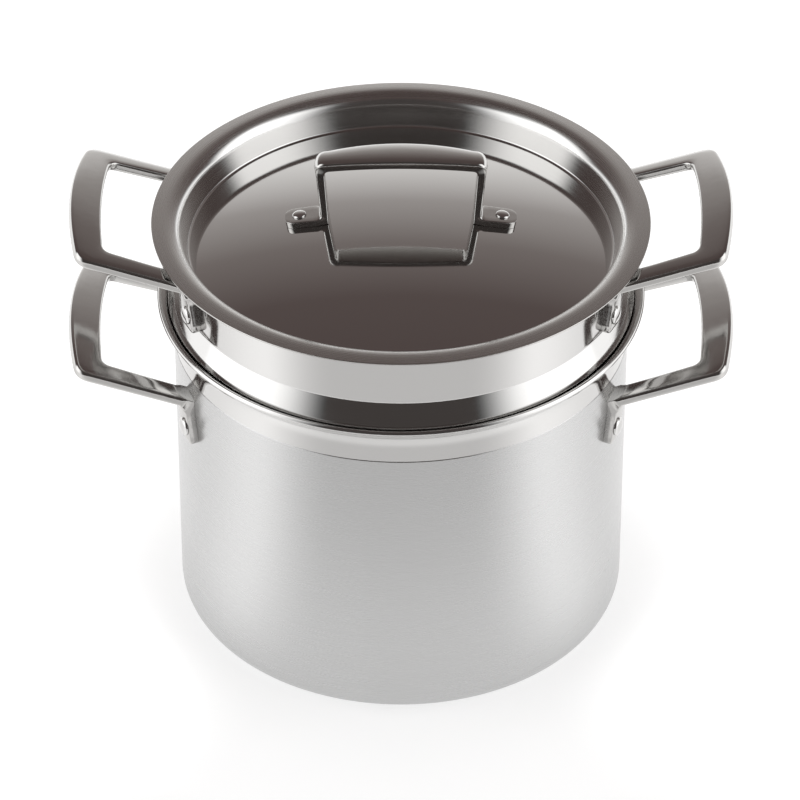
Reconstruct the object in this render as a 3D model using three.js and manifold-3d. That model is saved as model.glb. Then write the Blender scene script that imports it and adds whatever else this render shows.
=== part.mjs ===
// Pasta pot: a clad steel pot, a strainer insert that hangs in its lip, and a domed lid on the insert.
// Each of the three carries cast handles held by rivets.
// Millimetres, +Z up. The origin is the centre of the pot's flat base, and the side handles lie along X.
import * as THREE from 'three';
import { mergeVertices } from 'three/addons/utils/BufferGeometryUtils.js';
import Module from 'manifold-3d';

const wasm = await Module();
wasm.setup();

// Pot
const POT_RADIUS = 120; // outside of the straight wall
const POT_SHEET = 2.6; // clad sheet, wall and base alike
const POT_CORNER_RADIUS = 13.5; // outside of the rounded base edge
const LIP_START = 177; // height where the wall begins to flare
const LIP_RADIUS = 16; // bend of the flare, on its outer face
const LIP_ANGLE = 62.5; // degrees from upright at the end of the flare

// Strainer insert
const INSERT_SHEET = 1;
const COLLAR_RADIUS = 117.4; // outside of the upper wall, above the pot's lip
const COLLAR_TOP = 231.5; // hidden under the lid, whose well rests on it
const COLLAR_BREAK = 203.9; // height where the upper wall begins to widen downwards
const SEAT_ANGLE = 43.5; // degrees from upright where the seat meets the pot's lip
const SEAT_BEND = 2; // radius of the fold that rests in the lip
const BASKET_RADIUS = 113.5;
const BASKET_BOTTOM = 20;
const BASKET_CORNER_RADIUS = 18;
const HOLE_RADIUS = 3.2;
const HOLE_SIDES = 6;
const DRILL_LENGTH = 8; // of the cutter for one hole, well over the sheet's thickness
const WALL_HOLE_ROWS = 5;
const WALL_HOLES_PER_ROW = 24;
const WALL_HOLES_FROM = 52;
const WALL_HOLE_PITCH = 26; // between rows
const BOTTOM_HOLE_RINGS = 3; // round one hole at the centre
const BOTTOM_HOLES_ADDED = 6; // more holes in each ring than in the ring inside it
const BOTTOM_HOLE_PITCH = 28; // between rings

// Lid
const LID_SHEET = 1;
const LID_RADIUS = 130.2;
const LID_EDGE_HEIGHT = 237.4; // top of the flange at its outer edge
const LID_FOLD_RADIUS = 117.4; // where the flange turns down into the well
const LID_FOLD_HEIGHT = 238.4;
const FLANGE_CROWN = 0.2; // how far the flange bows up between its two edges
const DOME_TOP = 239.4;
const DOME_SPHERE_RADIUS = 348;
const DOME_EDGE = 111.4; // where the dome meets the wall of the well, at the lid's lowest ring

// Side handles, alike on the pot and on the insert
const HANDLE_THICKNESS = 5.2;
const HANDLE_TILT = 17.5; // degrees up towards the grip
const HANDLE_EDGE = 1.4; // chamfer
const HANDLE_ARCH = 4; // how far the loop bows up from its legs' outer edges to the middle of its grip
const LEG_ROOT_OUTER = 52.8; // half width across both legs at the wall
const LEG_ROOT_INNER = 42.6;
const LEG_END_OUTER = 52; // half width across both legs at the grip
const LEG_END_INNER = 40.7;
const GRIP_WIDTH = 16.4; // at its middle
const GRIP_OUTER_BOW = 6.4;
const GRIP_INNER_BOW = 2.8;
const GRIP_OUTER_ROUND = 6;
const GRIP_INNER_ROUND = 5;
const TAB_HALF_WIDTH = 7.2;
const TAB_THICKNESS = 5.2;
const TAB_BELOW_RIVET = 8.4;
const TAB_ROUND = 2.5; // bend of its corners
const ROOM_ABOVE = 4; // how far the space kept free for a vessel goes on above its rim
const TAB_SUNK = 3; // how far a tab is made to run into the wall, before the wall's shape cuts it
const LEG_ABOVE_RIVET = 16.2; // top of the leg where it meets the wall
const TAB_SIDE_OFFSET = 50.3; // distance of each rivet from the handle's middle plane
const POT_RIVET_HEIGHT = 140.9;
const POT_HANDLE_REACH = 174.5; // from the axis to the outermost point of the grip
const INSERT_RIVET_HEIGHT = 212.5;
const INSERT_HANDLE_REACH = 171.5;

// Lid handle
const BAR_HEIGHT = 270; // underside of the bar at its ends
const BAR_THICKNESS = 4.8;
const BAR_HALF_LENGTH = 44.7;
const BAR_END_HALF_WIDTH = 6.5;
const BAR_ROUND = 4; // bend of its corners, seen from above
const BAR_BOW = 2.6; // how far each long edge swells at the middle
const BAR_ARCH = 3.2; // rise of the bar at its middle
const LEG_FOOT_OUTER = 41.5; // outer face of each leg where it meets its lug
const LEG_FOOT_THICKNESS = 4;
const LEG_TOP_THICKNESS = 5;
const LEG_HALF_WIDTH = 5.4;
const LUG_END = 59.7;
const LUG_THICKNESS = 3.6;
const LUG_ROUND = 4; // bend of its end
const LUG_ROOT_HALF_WIDTH = 7.2;
const LUG_END_HALF_WIDTH = 6.5;
const LID_RIVET_OFFSET = 52.4;

// Rivets
const RIVET_HEAD_RADIUS = 5;
const RIVET_SHANK_RADIUS = 2.4;
const LID_RIVET_HEAD_RADIUS = 3.7;
const LID_RIVET_SHANK_RADIUS = 1.8;
const HEAD_RISE = 0.4; // height of a head as a share of its radius
const HEAD_ANGLES = [0, 40, 90]; // degrees from a head's top to the points of its outline
const RIVET_HOLE_LENGTH = 16; // of the cutter for a rivet's hole

const GAP = 0.3; // between neighbouring pieces
const ROUND_SEGMENTS = 40; // around the pot, the insert and the lid
const RIVET_SEGMENTS = 10;
const BEND_STEPS = 4; // straight steps in each rounded stretch of an outline

const STEEL = { color: 0xb9b8b6, metalness: 1 };
const brushed = () => new THREE.MeshStandardMaterial({ ...STEEL, roughness: 0.38 });
const polished = () => new THREE.MeshStandardMaterial({ ...STEEL, roughness: 0.12 });
const mirror = () => new THREE.MeshStandardMaterial({ ...STEEL, roughness: 0.05 });

const radians = THREE.MathUtils.degToRad;
const point = (x, y) => new THREE.Vector2(x, y);
// Distance from the axis to the middle of a flat on a round wall, which is made of flats.
const flatDistance = (radius) => radius * Math.cos(Math.PI / ROUND_SEGMENTS);

// Solids

// A closed geometry as a solid, with its shared corners welded and the empty triangles at an axis left out.
function solidFrom(geometry) {
  const bare = geometry.clone();
  bare.deleteAttribute('normal');
  bare.deleteAttribute('uv');
  const welded = mergeVertices(bare, 1e-4);
  const corners = welded.index.array;
  const triangles = [];
  for (let i = 0; i < corners.length; i += 3) {
    const [a, b, c] = corners.slice(i, i + 3);
    if (a !== b && b !== c && c !== a) triangles.push(a, b, c);
  }
  const vertProperties = new Float32Array(welded.attributes.position.array);
  const triVerts = new Uint32Array(triangles);
  return new wasm.Manifold(new wasm.Mesh({ numProp: 3, vertProperties, triVerts }));
}

function piece(name, solid, material) {
  const { vertProperties, triVerts } = solid.getMesh();
  const geometry = new THREE.BufferGeometry();
  geometry.setAttribute('position', new THREE.BufferAttribute(vertProperties, 3));
  geometry.setIndex(new THREE.BufferAttribute(triVerts, 1));
  geometry.computeVertexNormals();
  const mesh = new THREE.Mesh(geometry, material);
  mesh.name = name;
  return mesh;
}

// A closed outline of (radius, height) points turned about Z.
function turned(outline, segments) {
  const geometry = new THREE.LatheGeometry([...outline, outline[0]], segments);
  geometry.rotateX(Math.PI / 2);
  return solidFrom(geometry);
}

// A shape with rounded corners: each corner is [x, y, cut], and its bend begins that cut away from it.
function roundedShape(corners) {
  const shape = new THREE.Shape();
  corners.forEach(([x, y, cut], i) => {
    const corner = point(x, y);
    const before = point(...corners.at(i - 1)).sub(corner).setLength(cut).add(corner);
    const after = point(...corners[(i + 1) % corners.length]).sub(corner).setLength(cut).add(corner);
    if (i === 0) shape.moveTo(before.x, before.y);
    else shape.lineTo(before.x, before.y);
    if (cut > 0) shape.quadraticCurveTo(x, y, after.x, after.y);
  });
  shape.closePath();
  return shape;
}

// A flat plate of the shape, from z = 0 down to its thickness below.
function plate(shape, thickness, chamfer = 0) {
  const geometry = new THREE.ExtrudeGeometry(shape, {
    depth: thickness - 2 * chamfer,
    curveSegments: BEND_STEPS,
    bevelEnabled: chamfer > 0,
    bevelThickness: chamfer,
    bevelSize: chamfer,
    bevelOffset: -chamfer,
    bevelSegments: 1,
  });
  geometry.translate(0, 0, chamfer - thickness);
  return geometry;
}

// Lifts every corner of a geometry by a height worked out from its place.
function raise(geometry, height) {
  const corners = geometry.attributes.position;
  for (let i = 0; i < corners.count; i += 1) {
    corners.setZ(i, corners.getZ(i) + height(corners.getX(i), corners.getY(i)));
  }
}

// Outlines of bent sheet

function arc(centreX, centreY, radius, fromDegrees, toDegrees) {
  const points = [];
  for (let i = 0; i <= BEND_STEPS; i += 1) {
    const angle = radians(THREE.MathUtils.lerp(fromDegrees, toDegrees, i / BEND_STEPS));
    points.push(point(centreX + radius * Math.cos(angle), centreY + radius * Math.sin(angle)));
  }
  return points;
}

// The sheet's other face: every point of the line moved square to it, to its left for a positive distance.
function offsetLine(line, distance) {
  return line.map((at, i) => {
    const back = at.clone().sub(line[Math.max(i - 1, 0)]).normalize();
    const ahead = line[Math.min(i + 1, line.length - 1)].clone().sub(at).normalize();
    const along = back.clone().add(ahead).normalize();
    const halfTurn = Math.max(along.dot(back), along.dot(ahead));
    const moved = point(-along.y, along.x).multiplyScalar(distance / halfTurn).add(at);
    return at.x === 0 ? point(0, at.y + distance) : moved;
  });
}

// A vessel of bent sheet whose outer face follows the line, which starts on the axis at the bottom.
function vessel(line, thickness) {
  return turned([...line, ...offsetLine(line, thickness).reverse()], ROUND_SEGMENTS);
}

// The vessel's whole outside with a gap round it, solid, to cut what is fastened on it.
function vesselRoom(line) {
  const room = offsetLine(line, -GAP);
  const above = room.at(-1).y + ROOM_ABOVE;
  return turned([...room, point(room.at(-1).x, above), point(0, above)], ROUND_SEGMENTS);
}

// Pot

const LIP_CENTRE = point(POT_RADIUS + LIP_RADIUS, LIP_START);

// The outer face of the pot, from the middle of its base to the edge of its lip.
function potLine() {
  return [
    point(0, 0),
    ...arc(POT_RADIUS - POT_CORNER_RADIUS, POT_CORNER_RADIUS, POT_CORNER_RADIUS, -90, 0),
    ...arc(LIP_CENTRE.x, LIP_CENTRE.y, LIP_RADIUS, 180, 180 - LIP_ANGLE),
  ];
}

// Strainer insert

// The fold that rests in the pot's lip is an arc, which touches the lip's inner face but for the gap.
function seatCentre() {
  const reach = LIP_RADIUS + POT_SHEET + GAP + SEAT_BEND;
  const angle = radians(180 - SEAT_ANGLE);
  return point(LIP_CENTRE.x + reach * Math.cos(angle), LIP_CENTRE.y + reach * Math.sin(angle));
}

// The outer face of the insert, from the middle of its bottom to its top edge.
function insertLine() {
  const seat = seatCentre();
  const widening = Math.atan2(seat.x + SEAT_BEND - COLLAR_RADIUS, COLLAR_BREAK - seat.y);
  const seatArc = arc(seat.x, seat.y, SEAT_BEND, -SEAT_ANGLE, THREE.MathUtils.radToDeg(widening));
  const slope = Math.tan(radians(90 - SEAT_ANGLE));
  const neckHeight = seatArc[0].y - (seatArc[0].x - BASKET_RADIUS) * slope;
  const corner = point(BASKET_RADIUS - BASKET_CORNER_RADIUS, BASKET_BOTTOM + BASKET_CORNER_RADIUS);
  return [
    point(0, BASKET_BOTTOM),
    ...arc(corner.x, corner.y, BASKET_CORNER_RADIUS, -90, 0),
    point(BASKET_RADIUS, neckHeight),
    ...seatArc,
    point(COLLAR_RADIUS, COLLAR_BREAK),
    point(COLLAR_RADIUS, COLLAR_TOP),
  ];
}

// The cutter for one hole, along Z and centred on the origin.
function drill() {
  return new THREE.CylinderGeometry(HOLE_RADIUS, HOLE_RADIUS, DRILL_LENGTH, HOLE_SIDES).rotateX(Math.PI / 2);
}

function perforations() {
  const drills = [];
  for (let row = 0; row < WALL_HOLE_ROWS; row += 1) {
    for (let i = 0; i < WALL_HOLES_PER_ROW; i += 1) {
      const turn = ((i + (row % 2) / 2) / WALL_HOLES_PER_ROW) * 2 * Math.PI;
      const height = WALL_HOLES_FROM + row * WALL_HOLE_PITCH;
      drills.push(drill().rotateY(Math.PI / 2).translate(BASKET_RADIUS, 0, height).rotateZ(turn));
    }
  }
  drills.push(drill().translate(0, 0, BASKET_BOTTOM));
  for (let ring = 1; ring <= BOTTOM_HOLE_RINGS; ring += 1) {
    const count = BOTTOM_HOLES_ADDED * ring;
    for (let i = 0; i < count; i += 1) {
      const turn = (i / count) * 2 * Math.PI;
      drills.push(drill().translate(ring * BOTTOM_HOLE_PITCH, 0, BASKET_BOTTOM).rotateZ(turn));
    }
  }
  return wasm.Manifold.union(drills.map(solidFrom));
}

// Lid

// The top face of the lid, from the middle of the dome to the flange's outer edge.
function lidLine() {
  const domeAngle = THREE.MathUtils.radToDeg(Math.asin(DOME_EDGE / DOME_SPHERE_RADIUS));
  const dome = arc(0, DOME_TOP - DOME_SPHERE_RADIUS, DOME_SPHERE_RADIUS, 90, 90 - domeAngle);
  const crown = point(
    (LID_FOLD_RADIUS + LID_RADIUS) / 2,
    (LID_FOLD_HEIGHT + LID_EDGE_HEIGHT) / 2 + 2 * FLANGE_CROWN,
  );
  const flange = new THREE.QuadraticBezierCurve(
    point(LID_FOLD_RADIUS, LID_FOLD_HEIGHT),
    crown,
    point(LID_RADIUS, LID_EDGE_HEIGHT),
  );
  dome[0].x = 0;
  return [...dome, ...flange.getPoints(BEND_STEPS)];
}

function lidShell() {
  const top = lidLine();
  return turned([...offsetLine(top, -LID_SHEET), ...top.reverse()], ROUND_SEGMENTS);
}

// Rivets

// The outline of a rivet's head from its top to its rim, on the given side of its seat.
function headOutline(seat, side, radius) {
  return HEAD_ANGLES.map((degrees) => {
    const angle = radians(degrees);
    return point(radius * Math.sin(angle), seat + side * radius * HEAD_RISE * Math.cos(angle));
  });
}

// A rivet along X: its outer head sits at x = grip and faces +X, its inner head at x = 0 and faces -X.
function rivet(grip, headRadius, shankRadius) {
  const outline = [
    ...headOutline(-GAP, -1, headRadius),
    point(shankRadius, -GAP),
    point(shankRadius, grip + GAP),
    ...headOutline(grip + GAP, 1, headRadius).reverse(),
  ];
  const geometry = new THREE.LatheGeometry([...outline, outline[0]], RIVET_SEGMENTS);
  return geometry.rotateZ(-Math.PI / 2);
}

// The cutter for a rivet's hole, along X and centred on the origin.
function rivetHole(shankRadius) {
  const radius = shankRadius + GAP;
  return new THREE.CylinderGeometry(radius, radius, RIVET_HOLE_LENGTH, RIVET_SEGMENTS).rotateZ(Math.PI / 2);
}

// Side handles

// Where a rivet stands on a round wall: side is 1 for the back tab and -1 for the front one.
function tabTurn(wallRadius, side) {
  return side * Math.asin(TAB_SIDE_OFFSET / wallRadius);
}

// The loop seen square to its own plane: x runs from the wall outwards along the tilt.
function handleShape(wallRadius, reach) {
  const root = Math.cos(tabTurn(wallRadius, 1)) * wallRadius;
  const run = (x) => (x - root) / Math.cos(radians(HANDLE_TILT));
  const start = run(root / 2);
  const gripOuter = run(reach) - GRIP_OUTER_BOW;
  const gripInner = run(reach) - GRIP_WIDTH - GRIP_INNER_BOW;
  const outerSlope = (LEG_ROOT_OUTER - LEG_END_OUTER) / gripOuter;
  const innerSlope = (LEG_ROOT_INNER - LEG_END_INNER) / gripInner;
  const outerStart = LEG_ROOT_OUTER - start * outerSlope;
  const innerStart = LEG_ROOT_INNER - start * innerSlope;
  const outerBow = Math.hypot(2 * GRIP_OUTER_BOW, LEG_END_OUTER) - GRIP_OUTER_ROUND;
  const innerBow = Math.hypot(2 * GRIP_INNER_BOW, LEG_END_INNER) - GRIP_INNER_ROUND;
  return roundedShape([
    [start, -outerStart, 0],
    [gripOuter, -LEG_END_OUTER, GRIP_OUTER_ROUND],
    [gripOuter + 2 * GRIP_OUTER_BOW, 0, outerBow],
    [gripOuter, LEG_END_OUTER, GRIP_OUTER_ROUND],
    [start, outerStart, 0],
    [start, innerStart, 0],
    [gripInner, LEG_END_INNER, GRIP_INNER_ROUND],
    [gripInner + 2 * GRIP_INNER_BOW, 0, innerBow],
    [gripInner, -LEG_END_INNER, GRIP_INNER_ROUND],
    [start, -innerStart, 0],
  ]);
}

// A tab is a rounded plate that stands on the wall below the end of a leg.
// It widens downwards on its outer side.
function tab(wallRadius, rivetHeight, side) {
  const top = LEG_ABOVE_RIVET - HANDLE_THICKNESS / 2;
  const outer = -side * TAB_HALF_WIDTH;
  const topOuter = -side * (LEG_ROOT_OUTER - TAB_SIDE_OFFSET);
  const shape = roundedShape([
    [-TAB_BELOW_RIVET, outer, TAB_ROUND],
    [top, topOuter, TAB_ROUND],
    [top, -outer, TAB_ROUND],
    [-TAB_BELOW_RIVET, -outer, TAB_ROUND],
  ]);
  const geometry = plate(shape, TAB_THICKNESS + TAB_SUNK);
  geometry.rotateY(-Math.PI / 2).translate(-TAB_SUNK, 0, 0).rotateZ(Math.PI);
  geometry.translate(wallRadius, 0, rivetHeight).rotateZ(tabTurn(wallRadius, side));
  return geometry;
}

function sideHandle(room, wallRadius, reach, rivetHeight) {
  const root = Math.cos(tabTurn(wallRadius, 1)) * wallRadius;
  const loop = plate(handleShape(wallRadius, reach), HANDLE_THICKNESS, HANDLE_EDGE);
  raise(loop, (x, y) => HANDLE_ARCH * (1 - (y / LEG_ROOT_OUTER) ** 2));
  loop.rotateY(radians(-HANDLE_TILT)).translate(root, 0, rivetHeight + LEG_ABOVE_RIVET);
  let solid = solidFrom(loop);
  for (const side of [-1, 1]) {
    const hole = rivetHole(RIVET_SHANK_RADIUS);
    hole.translate(wallRadius, 0, rivetHeight).rotateZ(tabTurn(wallRadius, side));
    solid = solid.add(solidFrom(tab(wallRadius, rivetHeight, side))).subtract(solidFrom(hole));
  }
  return solid.subtract(room);
}

// Two handles with their four rivets, and the wall with the rivets' holes cut through it.
function handleSet(owner, wall, room, wallRadius, sheet, reach, rivetHeight) {
  const handle = sideHandle(room, wallRadius, reach, rivetHeight);
  const inside = flatDistance(wallRadius - sheet);
  const grip = wallRadius + TAB_THICKNESS - inside;
  const parts = [];
  let drilled = wall;
  for (const [hand, halfTurn] of [['left', 180], ['right', 0]]) {
    parts.push(piece(`${owner}_handle_${hand}`, handle.rotate([0, 0, halfTurn]), polished()));
    for (const side of [-1, 1]) {
      const turn = tabTurn(wallRadius, side) + radians(halfTurn);
      const end = Math.sin(turn) < 0 ? 'front' : 'back';
      const place = (geometry, x) => solidFrom(geometry.translate(x, 0, rivetHeight).rotateZ(turn));
      const fastener = place(rivet(grip, RIVET_HEAD_RADIUS, RIVET_SHANK_RADIUS), inside);
      drilled = drilled.subtract(place(rivetHole(RIVET_SHANK_RADIUS), wallRadius));
      parts.push(piece(`${owner}_rivet_${hand}_${end}`, fastener, polished()));
    }
  }
  return { drilled, parts };
}

// Lid handle

const domeHeight = (x) => DOME_TOP - DOME_SPHERE_RADIUS + Math.sqrt(DOME_SPHERE_RADIUS ** 2 - x ** 2);
const lugTilt = Math.asin(LID_RIVET_OFFSET / DOME_SPHERE_RADIUS);

function handleBar() {
  const bow = Math.hypot(BAR_HALF_LENGTH, 2 * BAR_BOW) - BAR_ROUND;
  const wide = BAR_END_HALF_WIDTH + 2 * BAR_BOW;
  const bar = plate(
    roundedShape([
      [-BAR_HALF_LENGTH, -BAR_END_HALF_WIDTH, BAR_ROUND],
      [0, -wide, bow],
      [BAR_HALF_LENGTH, -BAR_END_HALF_WIDTH, BAR_ROUND],
      [BAR_HALF_LENGTH, BAR_END_HALF_WIDTH, BAR_ROUND],
      [0, wide, bow],
      [-BAR_HALF_LENGTH, BAR_END_HALF_WIDTH, BAR_ROUND],
    ]),
    BAR_THICKNESS,
    HANDLE_EDGE,
  );
  raise(bar, (x) => BAR_HEIGHT + BAR_THICKNESS + BAR_ARCH * (1 - (x / BAR_HALF_LENGTH) ** 2));
  return solidFrom(bar);
}

function handleLeg() {
  const foot = domeHeight(LEG_FOOT_OUTER) + GAP + LUG_THICKNESS / 2;
  const top = BAR_HEIGHT + BAR_THICKNESS / 2;
  const shape = roundedShape([
    [LEG_FOOT_OUTER - LEG_FOOT_THICKNESS, foot, 0],
    [LEG_FOOT_OUTER, foot, 0],
    [BAR_HALF_LENGTH, top, 0],
    [BAR_HALF_LENGTH - LEG_TOP_THICKNESS, top, 0],
  ]);
  return solidFrom(plate(shape, 2 * LEG_HALF_WIDTH).rotateX(Math.PI / 2).translate(0, -LEG_HALF_WIDTH, 0));
}

// A lug lies along the dome's slope. Its own origin is where its rivet's axis meets the dome.
function handleLug() {
  const root = LEG_FOOT_OUTER - LEG_FOOT_THICKNESS - LID_RIVET_OFFSET;
  const end = LUG_END - LID_RIVET_OFFSET;
  const shape = roundedShape([
    [root, -LUG_ROOT_HALF_WIDTH, 0],
    [end, -LUG_END_HALF_WIDTH, LUG_ROUND],
    [end, LUG_END_HALF_WIDTH, LUG_ROUND],
    [root, LUG_ROOT_HALF_WIDTH, 0],
  ]);
  const lug = solidFrom(plate(shape, LUG_THICKNESS).translate(0, 0, GAP + LUG_THICKNESS));
  const hole = rivetHole(LID_RIVET_SHANK_RADIUS).rotateY(Math.PI / 2);
  return lug.subtract(solidFrom(hole));
}

// Moves a lug, or what goes through it, from its own origin to its place on the right of the dome.
function onDome(solid) {
  const tilt = THREE.MathUtils.radToDeg(lugTilt);
  return solid.rotate([0, tilt, 0]).translate([LID_RIVET_OFFSET, 0, domeHeight(LID_RIVET_OFFSET)]);
}

function lidHandle() {
  const half = handleLeg().add(onDome(handleLug()));
  return handleBar().add(half).add(half.rotate([0, 0, 180]));
}

function lidSet() {
  const grip = LID_SHEET + GAP + LUG_THICKNESS;
  const upright = rivet(grip, LID_RIVET_HEAD_RADIUS, LID_RIVET_SHANK_RADIUS).rotateY(-Math.PI / 2);
  const fastener = onDome(solidFrom(upright.translate(0, 0, -LID_SHEET)));
  const hole = onDome(solidFrom(rivetHole(LID_RIVET_SHANK_RADIUS).rotateY(Math.PI / 2)));
  const parts = [piece('lid_handle', lidHandle(), polished())];
  let drilled = lidShell();
  for (const [hand, halfTurn] of [['left', 180], ['right', 0]]) {
    drilled = drilled.subtract(hole.rotate([0, 0, halfTurn]));
    parts.push(piece(`lid_rivet_${hand}`, fastener.rotate([0, 0, halfTurn]), polished()));
  }
  return [piece('lid', drilled, mirror()), ...parts];
}

function potSet() {
  const line = potLine();
  const body = vessel(line, POT_SHEET);
  const room = vesselRoom(line);
  const set = handleSet('pot', body, room, POT_RADIUS, POT_SHEET, POT_HANDLE_REACH, POT_RIVET_HEIGHT);
  return [piece('pot_body', set.drilled, brushed()), ...set.parts];
}

function insertSet() {
  const line = insertLine();
  const basket = vessel(line, INSERT_SHEET).subtract(perforations());
  const room = vesselRoom(line);
  const set = handleSet(
    'insert', basket, room, COLLAR_RADIUS, INSERT_SHEET, INSERT_HANDLE_REACH, INSERT_RIVET_HEIGHT,
  );
  return [piece('strainer_insert', set.drilled, polished()), ...set.parts];
}

const pastaPot = new THREE.Group();
pastaPot.add(...potSet(), ...insertSet(), ...lidSet());

export default pastaPot;
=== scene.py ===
# Pasta pot: fine surfaces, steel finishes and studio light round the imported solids.
import math

import bmesh
import bpy
from mathutils import Matrix, Vector
from mathutils.geometry import delaunay_2d_cdt


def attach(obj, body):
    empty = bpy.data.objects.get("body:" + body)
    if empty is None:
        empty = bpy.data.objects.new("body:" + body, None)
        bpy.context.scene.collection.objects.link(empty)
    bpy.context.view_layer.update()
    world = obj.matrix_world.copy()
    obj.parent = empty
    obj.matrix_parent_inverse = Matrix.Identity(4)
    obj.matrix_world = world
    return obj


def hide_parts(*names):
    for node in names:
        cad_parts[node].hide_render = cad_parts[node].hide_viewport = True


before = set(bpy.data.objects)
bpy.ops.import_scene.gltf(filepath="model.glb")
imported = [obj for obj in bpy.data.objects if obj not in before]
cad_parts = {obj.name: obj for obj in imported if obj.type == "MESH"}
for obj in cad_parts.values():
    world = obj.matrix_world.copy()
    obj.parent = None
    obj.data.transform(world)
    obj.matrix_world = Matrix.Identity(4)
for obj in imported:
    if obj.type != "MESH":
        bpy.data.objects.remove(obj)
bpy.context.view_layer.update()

# Sizes are in millimetres, as on the solids, and the meshes are scaled to metres when they are made.
MM = 0.001

# Pot
POT_RADIUS = 120
POT_SHEET = 2.6
POT_CORNER = 13.5
LIP_START = 177
LIP_RADIUS = 16
LIP_ANGLE = 62.5
POLISH_LINE = 168.4  # height of the groove between the satin wall and the polished band
GROOVE_DEPTH = 0.34
GROOVE_HALF_HEIGHT = 0.3
LIP_SOFTENING = 0.9
WALL_RING = 0.5  # from each end of the straight wall, so that its shading stays straight

# Strainer insert
INSERT_SHEET = 1
COLLAR_RADIUS = 117.4
COLLAR_TOP = 231.5
COLLAR_BREAK = 203.9
COLLAR_BREAK_BEND = 4
SEAT_ANGLE = 43.5
SEAT_BEND = 2
SEAT_GAP = 0.3
BASKET_RADIUS = 113.5
BASKET_BOTTOM = 20
BASKET_CORNER = 18
HOLE_RADIUS = 3.2
WALL_HOLE_ROWS = 5
WALL_HOLES_PER_ROW = 24
WALL_HOLES_FROM = 52
WALL_HOLE_PITCH = 26
BOTTOM_HOLE_RINGS = 3
BOTTOM_HOLES_ADDED = 6  # more holes in each ring than in the ring inside it
BOTTOM_HOLE_PITCH = 28
WALL_FOOT = WALL_HOLES_FROM - WALL_HOLE_PITCH / 2  # foot and top of the part of the wall that has holes
WALL_TOP = WALL_FOOT + WALL_HOLE_ROWS * WALL_HOLE_PITCH
CELL_STEPS = 6  # mesh steps along each side of the square of sheet round a wall hole
CELL_START = -0.75 * math.pi  # direction from a hole's centre to its square's lower left corner
HOLE_STEPS = 4 * CELL_STEPS
BASKET_COLUMNS = WALL_HOLES_PER_ROW * CELL_STEPS

# Lid
LID_SHEET = 1
LID_RADIUS = 130.2
LID_EDGE_HEIGHT = 237.4
LID_FOLD = (116, 238.5)
LID_FOLD_BEND = 9
FLANGE_CROWN = 0.2
FLANGE_FINISH = 117.6  # radius outside which the lid is satin
FLANGE_START = 0.62  # share of the way from the fold to the edge where the fold's bend has ended
DOME_TOP = 239.4
DOME_SPHERE = 348
DOME_EDGE = 111.4
LID_FOOT_BEND = 1.2  # bend where the dome meets the wall of the well
SHEET_SOFTENING = 0.4  # of the rims of the insert and the lid

# Side handles
HANDLE_THICKNESS = 5.2
HANDLE_TILT = math.radians(17.5)
HANDLE_ARCH = 4  # how far the loop bows up from its legs' outer edges to the middle of its grip
HANDLE_CROWN = 0.3  # how far a bar's upper face bows up across its width
HANDLE_SOFTENING = 2
HANDLE_UNDER_SOFTENING = 1.5
LEG_ALONG = Vector((math.cos(HANDLE_TILT), 0, math.sin(HANDLE_TILT)))  # out along a right-hand handle
LEG_UP = Vector((-LEG_ALONG.z, 0, LEG_ALONG.x))
LEG_DOWN = -LEG_UP * HANDLE_THICKNESS  # from a bar's upper face to its under face
LEG_ROOT_OUTER = 52.8
LEG_ROOT_INNER = 42.6
LEG_END_OUTER = 52
LEG_END_INNER = 40.7
GRIP_WIDTH = 16.4
GRIP_OUTER_BOW = 6.4
GRIP_INNER_BOW = 2.8
GRIP_OUTER_ROUND = 7
GRIP_INNER_ROUND = 5
TAB_HALF_WIDTH = 7.2
TAB_THICKNESS = 5.2
TAB_END_THICKNESS = 4.8
TAB_BELOW_RIVET = 8.4
TAB_ROUND = 2
TAB_END_TRIM = 0.2  # how fast the tab thins where its lower corners are rounded
TAB_BEND = 1.2  # bend under the leg, where it turns down into the tab
LEG_ABOVE_RIVET = 16.2
TAB_SIDE_OFFSET = 50.3
POT_RIVET_HEIGHT = 140.9
POT_HANDLE_REACH = 174.5
INSERT_RIVET_HEIGHT = 212.5
INSERT_HANDLE_REACH = 171.5

# Lid handle
BAR_HEIGHT = 270
BAR_THICKNESS = 4.8
BAR_HALF_LENGTH = 44.7
BAR_END_HALF_WIDTH = 6.7
BAR_HALF_WIDTH = 9
BAR_ARCH = 3.2
BAR_OUTER_ROUND = 7
BAR_INNER_ROUND = 4
BAR_SOFTENING = 1.4
BAR_CROWN = 1
BAR_OUTER_CORNER = Vector((BAR_HALF_LENGTH, BAR_HEIGHT + BAR_THICKNESS))
FOOT_OUTER = 41.5
FOOT_THICKNESS = 4
FOOT_HALF_WIDTH = 5.8
FOOT_BEND = 2
LEG_TOP_HALF_WIDTH = 5
LEG_SOFTENING = 1.1
LEG_CROWN = 0.3
LEG_TOP_THICKNESS = 5
BAR_INNER_CORNER = Vector((BAR_HALF_LENGTH - LEG_TOP_THICKNESS, BAR_HEIGHT))
LUG_END = 59.7
LUG_THICKNESS = 3.6
LUG_HALF_WIDTH = 7.2
LUG_END_HALF_WIDTH = 6.5
LUG_ROUND = 4
LUG_SOFTENING = 0.6
LID_RIVET_OFFSET = 52.4

# Rivets
RIVET_HEAD = 5
RIVET_SHANK = 2.4
LID_RIVET_HEAD = 3.7
LID_RIVET_SHANK = 1.8
HEAD_RISE = 0.36
HEAD_EDGE = 0.35  # height of a head's upright rim

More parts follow.
